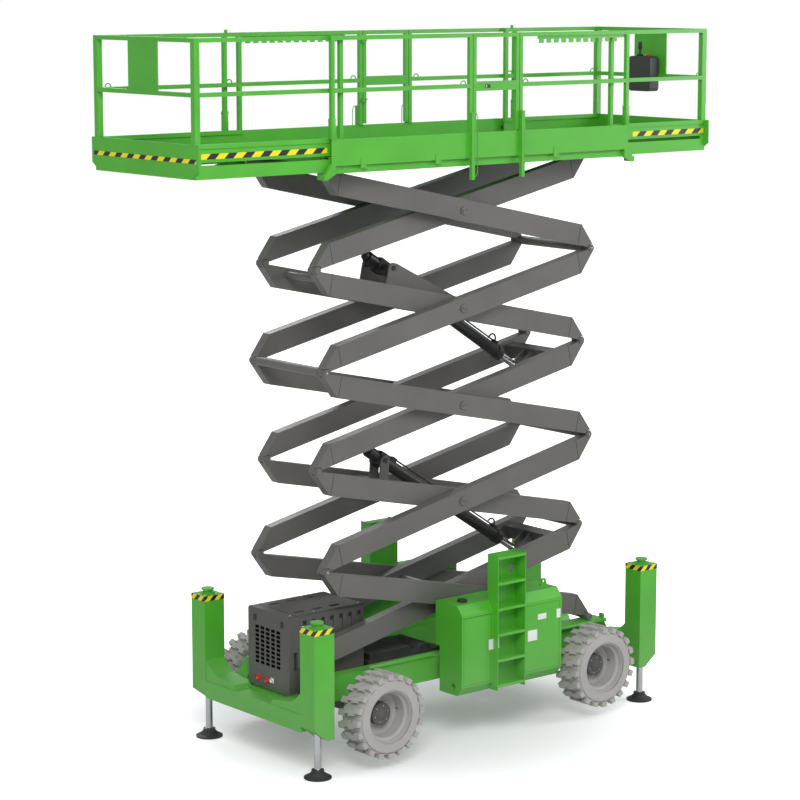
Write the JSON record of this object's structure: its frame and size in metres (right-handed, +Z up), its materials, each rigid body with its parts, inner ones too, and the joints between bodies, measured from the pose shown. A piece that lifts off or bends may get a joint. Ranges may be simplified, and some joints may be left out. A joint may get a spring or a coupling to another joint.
{
  "type": "scissor lift",
  "caption": "Rough-terrain scissor lift, raised and standing on jack legs, with sliding deck extensions, guard rails, swing gates and steered wheels.",
  "frame": {"origin": "on the floor under the middle of the machine's bounding box, with the platform raised and both extensions out", "axes": "+X along the machine towards the right-hand end in the picture (short extension), +Y across towards the far side, +Z up"},
  "size_m": [6.525, 2.326, 7.064],
  "materials": {
    "chassis_paint": "semi-gloss green paint",
    "rail_paint": "semi-gloss green paint",
    "scissor_paint": "satin dark grey paint",
    "power_box_paint": "satin dark grey paint",
    "axle_paint": "satin dark paint",
    "rim_paint": "light grey paint",
    "tyre_rubber": "light grey non-marking rubber",
    "cylinder_paint": "black paint",
    "rod_chrome": "polished",
    "control_plastic": "dark grey"
  },
  "bodies": {
    "chassis": {"chassis_frame": "chassis_paint", "chassis_cross_members": "chassis_paint", "outrigger_frame_left": "chassis_paint", "outrigger_frame_right": "chassis_paint", "power_box": "power_box_paint", "service_tray": "power_box_paint", "side_tank_near": "chassis_paint", "side_tank_far": "chassis_paint", "ladder_near": "chassis_paint", "ladder_far": "chassis_paint", "steer_axle": "axle_paint", "drive_axle": "axle_paint"},
    "steer_knuckle_near": {"knuckle_near": "axle_paint"},
    "steer_knuckle_far": {"knuckle_far": "axle_paint"},
    "wheel_left_near": {"rim_left_near": "rim_paint", "tyre_left_near": "tyre_rubber"},
    "wheel_left_far": {"rim_left_far": "rim_paint", "tyre_left_far": "tyre_rubber"},
    "wheel_right_near": {"rim_right_near": "rim_paint", "tyre_right_near": "tyre_rubber"},
    "wheel_right_far": {"rim_right_far": "rim_paint", "tyre_right_far": "tyre_rubber"},
    "jack_left_near": {"jack_leg_left_near": "rod_chrome"},
    "jack_left_far": {"jack_leg_left_far": "rod_chrome"},
    "jack_right_near": {"jack_leg_right_near": "rod_chrome"},
    "jack_right_far": {"jack_leg_right_far": "rod_chrome"},
    "inner_scissor_1": {"inner_frame_1": "scissor_paint"},
    "outer_scissor_1": {"outer_frame_1": "scissor_paint"},
    "inner_scissor_2": {"inner_frame_2": "scissor_paint"},
    "outer_scissor_2": {"outer_frame_2": "scissor_paint"},
    "inner_scissor_3": {"inner_frame_3": "scissor_paint"},
    "outer_scissor_3": {"outer_frame_3": "scissor_paint"},
    "inner_scissor_4": {"inner_frame_4": "scissor_paint"},
    "outer_scissor_4": {"outer_frame_4": "scissor_paint"},
    "inner_scissor_5": {"inner_frame_5": "scissor_paint"},
    "outer_scissor_5": {"outer_frame_5": "scissor_paint"},
    "cylinder_lower": {"lift_barrel_lower": "cylinder_paint"},
    "cylinder_rod_lower": {"lift_rod_lower": "rod_chrome"},
    "cylinder_upper": {"lift_barrel_upper": "cylinder_paint"},
    "cylinder_rod_upper": {"lift_rod_upper": "rod_chrome"},
    "platform": {"main_deck": "chassis_paint", "main_rails": "rail_paint"},
    "extension_left": {"extension_deck_left": "chassis_paint", "extension_rails_left": "rail_paint"},
    "extension_right": {"extension_deck_right": "chassis_paint", "extension_rails_right": "rail_paint", "control_box": "control_plastic"},
    "gate_near": {"gate_near": "rail_paint"},
    "gate_far": {"gate_far": "rail_paint"}
  },
  "joints": [
    {"name": "lift", "type": "hinge", "parent": "chassis", "child": "inner_scissor_1", "pos_m": [-1.6155, 0, 0.9335], "axis": [0, -1, 0], "range_deg": [-11.5, 40.4]},
    {"name": "crossing_1", "type": "hinge", "parent": "inner_scissor_1", "child": "outer_scissor_1", "pos_m": [0.11399, 0, 1.42143], "axis": [0, 1, 0], "range_deg": [-23.2, 81]},
    {"name": "end_joint_1", "type": "hinge", "parent": "inner_scissor_1", "child": "inner_scissor_2", "pos_m": [1.84348, 0, 1.90936], "axis": [0, 1, 0], "range_deg": [-23.2, 81]},
    {"name": "crossing_2", "type": "hinge", "parent": "inner_scissor_2", "child": "outer_scissor_2", "pos_m": [0.11399, 0, 2.39729], "axis": [0, -1, 0], "range_deg": [-23.2, 81]},
    {"name": "end_joint_2", "type": "hinge", "parent": "inner_scissor_2", "child": "inner_scissor_3", "pos_m": [-1.6155, 0, 2.88522], "axis": [0, -1, 0], "range_deg": [-23.2, 81]},
    {"name": "crossing_3", "type": "hinge", "parent": "inner_scissor_3", "child": "outer_scissor_3", "pos_m": [0.11399, 0, 3.37315], "axis": [0, 1, 0], "range_deg": [-23.2, 81]},
    {"name": "end_joint_3", "type": "hinge", "parent": "inner_scissor_3", "child": "inner_scissor_4", "pos_m": [1.84348, 0, 3.86108], "axis": [0, 1, 0], "range_deg": [-23.2, 81]},
    {"name": "crossing_4", "type": "hinge", "parent": "inner_scissor_4", "child": "outer_scissor_4", "pos_m": [0.11399, 0, 4.34901], "axis": [0, -1, 0], "range_deg": [-23.2, 81]},
    {"name": "end_joint_4", "type": "hinge", "parent": "inner_scissor_4", "child": "inner_scissor_5", "pos_m": [-1.6155, 0, 4.83694], "axis": [0, -1, 0], "range_deg": [-23.2, 81]},
    {"name": "crossing_5", "type": "hinge", "parent": "inner_scissor_5", "child": "outer_scissor_5", "pos_m": [0.11399, 0, 5.32486], "axis": [0, 1, 0], "range_deg": [-23.2, 81]},
    {"name": "deck_pivot", "type": "hinge", "parent": "outer_scissor_5", "child": "platform", "pos_m": [-1.6155, 0, 5.81279], "axis": [0, -1, 0], "range_deg": [-11.7, 40.6]},
    {"name": "cylinder_swing_lower", "type": "hinge", "parent": "inner_scissor_2", "child": "cylinder_lower", "pos_m": [-0.4785, 0, 2.81], "axis": [0, -1, 0], "range_deg": [-0.89, 1.87]},
    {"name": "cylinder_stroke_lower", "type": "slide", "parent": "cylinder_lower", "child": "cylinder_rod_lower", "axis": [0.8397, 0, -0.5431], "range_m": [-0.2009, 0.6983]},
    {"name": "cylinder_swing_upper", "type": "hinge", "parent": "inner_scissor_4", "child": "cylinder_upper", "pos_m": [-0.4785, 0, 4.76172], "axis": [0, -1, 0], "range_deg": [-0.89, 1.87]},
    {"name": "cylinder_stroke_upper", "type": "slide", "parent": "cylinder_upper", "child": "cylinder_rod_upper", "axis": [0.8397, 0, -0.5431], "range_m": [-0.2009, 0.6983]},
    {"name": "extend_left", "type": "slide", "parent": "platform", "child": "extension_left", "axis": [1, 0, 0], "range_m": [0, 1.4]},
    {"name": "extend_right", "type": "slide", "parent": "platform", "child": "extension_right", "axis": [-1, 0, 0], "range_m": [0, 1]},
    {"name": "gate_swing_near", "type": "hinge", "parent": "platform", "child": "gate_near", "pos_m": [0.5855, -0.823, 6.6], "axis": [0, 0, -1], "range_deg": [0, 90]},
    {"name": "gate_swing_far", "type": "hinge", "parent": "platform", "child": "gate_far", "pos_m": [-0.0175, 0.823, 6.6], "axis": [0, 0, -1], "range_deg": [0, 90]},
    {"name": "jack_left_near_slide", "type": "slide", "parent": "chassis", "child": "jack_left_near", "axis": [0, 0, 1], "range_m": [-0.2, 0.28]},
    {"name": "jack_left_far_slide", "type": "slide", "parent": "chassis", "child": "jack_left_far", "axis": [0, 0, 1], "range_m": [-0.2, 0.28]},
    {"name": "jack_right_near_slide", "type": "slide", "parent": "chassis", "child": "jack_right_near", "axis": [0, 0, 1], "range_m": [-0.2, 0.28]},
    {"name": "jack_right_far_slide", "type": "slide", "parent": "chassis", "child": "jack_right_far", "axis": [0, 0, 1], "range_m": [-0.2, 0.28]},
    {"name": "steer_near", "type": "hinge", "parent": "chassis", "child": "steer_knuckle_near", "pos_m": [-1.2785, -0.79, 0.531], "axis": [0, 0, 1], "range_deg": [-30, 30]},
    {"name": "steer_far", "type": "hinge", "parent": "chassis", "child": "steer_knuckle_far", "pos_m": [-1.2785, 0.79, 0.531], "axis": [0, 0, 1], "range_deg": [-30, 30]},
    {"name": "wheel_left_near_spin", "type": "hinge", "parent": "steer_knuckle_near", "child": "wheel_left_near", "pos_m": [-1.2785, -1, 0.531], "axis": [0, 1, 0], "continuous": true},
    {"name": "wheel_left_far_spin", "type": "hinge", "parent": "steer_knuckle_far", "child": "wheel_left_far", "pos_m": [-1.2785, 1, 0.531], "axis": [0, 1, 0], "continuous": true},
    {"name": "wheel_right_near_spin", "type": "hinge", "parent": "chassis", "child": "wheel_right_near", "pos_m": [1.5815, -1, 0.531], "axis": [0, 1, 0], "continuous": true},
    {"name": "wheel_right_far_spin", "type": "hinge", "parent": "chassis", "child": "wheel_right_far", "pos_m": [1.5815, 1, 0.531], "axis": [0, 1, 0], "continuous": true}
  ],
  "couplings": [
    {"joint": "crossing_1", "follows": "lift", "ratio": 2},
    {"joint": "end_joint_1", "follows": "lift", "ratio": 2},
    {"joint": "crossing_2", "follows": "lift", "ratio": 2},
    {"joint": "end_joint_2", "follows": "lift", "ratio": 2},
    {"joint": "crossing_3", "follows": "lift", "ratio": 2},
    {"joint": "end_joint_3", "follows": "lift", "ratio": 2},
    {"joint": "crossing_4", "follows": "lift", "ratio": 2},
    {"joint": "end_joint_4", "follows": "lift", "ratio": 2},
    {"joint": "crossing_5", "follows": "lift", "ratio": 2},
    {"joint": "deck_pivot", "follows": "lift", "ratio": 1},
    {"joint": "cylinder_swing_lower", "follows": "lift", "ratio": 0.0339},
    {"joint": "cylinder_stroke_lower", "follows": "lift", "m_per_rad": 0.9861},
    {"joint": "cylinder_swing_upper", "follows": "lift", "ratio": 0.0339},
    {"joint": "cylinder_stroke_upper", "follows": "lift", "m_per_rad": 0.9861},
    {"joint": "steer_far", "follows": "steer_near", "ratio": 1}
  ]
}
